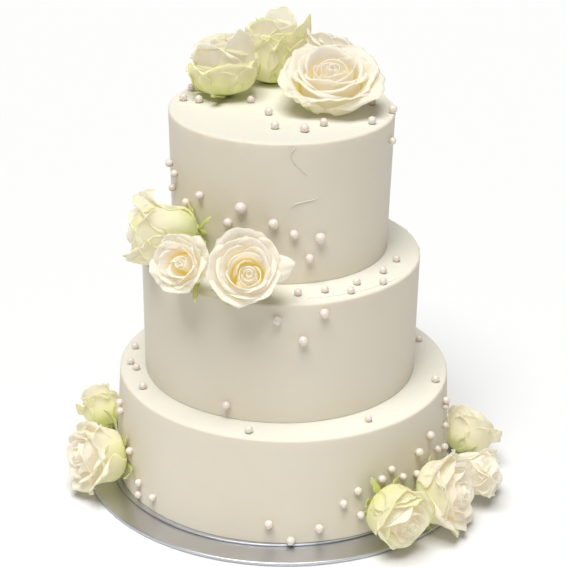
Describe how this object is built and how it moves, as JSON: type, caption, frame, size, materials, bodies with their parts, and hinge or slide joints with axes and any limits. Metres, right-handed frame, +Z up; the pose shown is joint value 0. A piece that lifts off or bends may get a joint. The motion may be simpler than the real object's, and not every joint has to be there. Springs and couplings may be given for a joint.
{
  "type": "tiered wedding cake",
  "caption": "Round tiered wedding cake with smooth ivory icing, scattered sugar pearls and clusters of white roses, on a thin round silver board.",
  "frame": {"origin": "centre of the board's underside", "axes": "+Z up through the tiers, -Y towards the cake's front, +X to the cake's right seen from the front"},
  "size_m": [0.3406, 0.3131, 0.3332],
  "materials": {
    "icing": "smooth satin buttercream, ivory",
    "petal": "soft matt petal, white with a greenish cream base",
    "sepal": "matt leaf green",
    "pearl": "pearl sheen",
    "silver_board": "satin silver"
  },
  "bodies": {
    "root": {"board": "silver_board", "cake_card": "silver_board", "tier_bottom": "icing", "tier_middle": "icing", "tier_top": "icing", "rose_top_left": "petal", "rose_top_back": "petal", "rose_top_side": "petal", "rose_top_front": "petal", "rose_middle_side": "petal", "rose_middle_left": "petal", "rose_middle_front": "petal", "rose_base_left_back": "petal", "rose_base_left_front": "petal", "rose_base_right_back": "petal", "rose_base_right_side": "petal", "rose_base_right_front": "petal", "rose_base_right_corner": "petal"}
  },
  "joints": []
}
